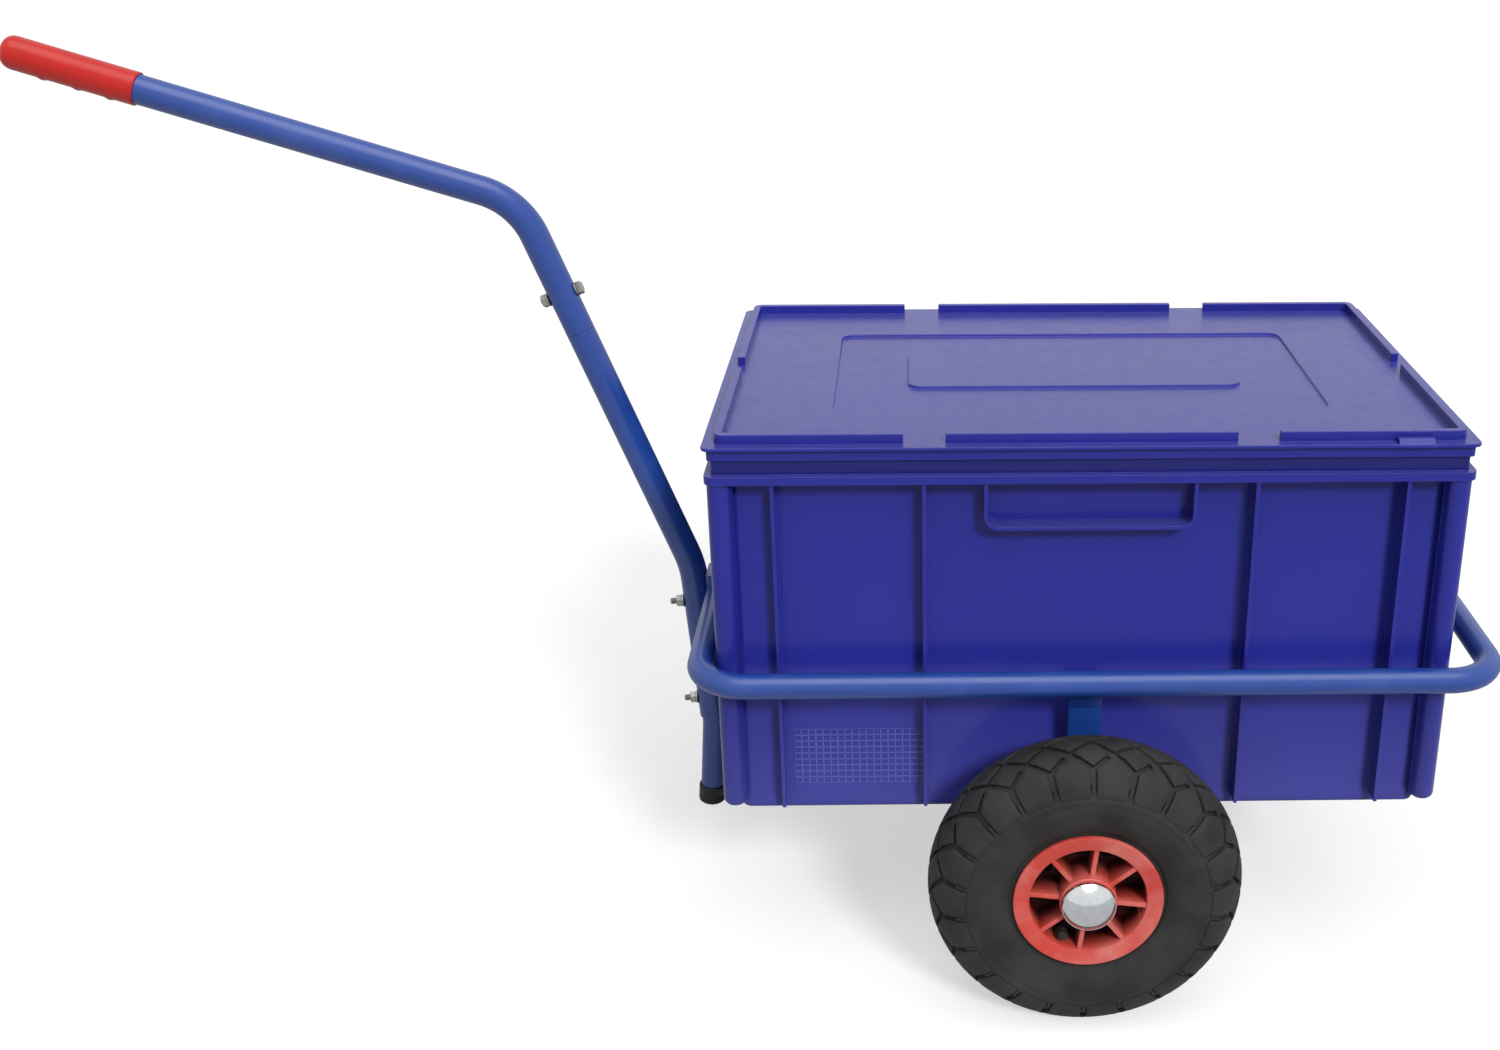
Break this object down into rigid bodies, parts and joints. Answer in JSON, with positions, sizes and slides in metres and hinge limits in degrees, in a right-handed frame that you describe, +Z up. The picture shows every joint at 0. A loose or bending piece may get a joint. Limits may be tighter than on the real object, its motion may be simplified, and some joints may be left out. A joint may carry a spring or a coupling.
{
  "type": "hand cart",
  "caption": "Pull-along hand cart: a lidded stacking container in a bent tube hoop on pneumatic wheels, with a bent tube drawbar, finger grip and support leg.",
  "frame": {"origin": "on the floor, under the middle of the axle", "axes": "+Z up, +Y along the axle to the cart's right side seen from the container towards the drawbar's far end, -X towards the drawbar and its grip"},
  "size_m": [1.2252, 0.603, 0.7795],
  "materials": {
    "frame_paint": "gloss blue powder coat",
    "container_plastic": "satin moulded",
    "lid_plastic": "satin moulded",
    "grip_plastic": "gloss moulded",
    "rim_plastic": "satin moulded",
    "tyre_rubber": "matte",
    "tube_rubber": "matte",
    "zinc_steel": "zinc plated",
    "bright_cap": "polished",
    "black_plastic": "matte moulded"
  },
  "bodies": {
    "frame": {"hoop_tube": "frame_paint", "cross_cradle": "frame_paint", "front_upright": "frame_paint", "front_cradle": "frame_paint", "rear_cradle": "frame_paint", "drawbar_lower": "frame_paint", "drawbar_upper": "frame_paint", "joint_sleeve": "zinc_steel", "grip": "grip_plastic", "support_leg": "frame_paint", "leg_cap": "black_plastic", "joint_bolt": "zinc_steel", "frame_studs": "zinc_steel", "drawbar_nuts": "zinc_steel", "drawbar_washers": "zinc_steel", "axle": "zinc_steel", "axle_washers": "zinc_steel", "axle_hanger_left": "frame_paint", "axle_hanger_right": "frame_paint", "axle_spacer_left": "zinc_steel", "axle_spacer_right": "zinc_steel", "hub_cap_left": "bright_cap", "hub_cap_right": "bright_cap"},
    "wheel_left": {"tyre_left": "tyre_rubber", "inner_tube_left": "tube_rubber", "rim_outer_left": "rim_plastic", "rim_inner_left": "rim_plastic", "valve_left": "tube_rubber", "rim_bolts_left": "zinc_steel", "rim_nuts_left": "zinc_steel", "rollers_left": "zinc_steel", "roller_cage_left": "black_plastic"},
    "wheel_right": {"tyre_right": "tyre_rubber", "inner_tube_right": "tube_rubber", "rim_outer_right": "rim_plastic", "rim_inner_right": "rim_plastic", "valve_right": "tube_rubber", "rim_bolts_right": "zinc_steel", "rim_nuts_right": "zinc_steel", "rollers_right": "zinc_steel", "roller_cage_right": "black_plastic"},
    "container": {"container": "container_plastic"},
    "lid": {"lid": "lid_plastic"}
  },
  "joints": [
    {"name": "wheel_left_spin", "type": "hinge", "parent": "frame", "child": "wheel_left", "pos_m": [0, -0.25, 0.13], "axis": [0, 1, 0], "continuous": true},
    {"name": "wheel_right_spin", "type": "hinge", "parent": "frame", "child": "wheel_right", "pos_m": [0, 0.25, 0.13], "axis": [0, 1, 0], "continuous": true},
    {"name": "container_lift", "type": "slide", "parent": "frame", "child": "container", "axis": [0, 0, 1], "range_m": [0, 0.2]},
    {"name": "lid_lift", "type": "slide", "parent": "container", "child": "lid", "axis": [0, 0, 1], "range_m": [0, 0.15]}
  ]
}
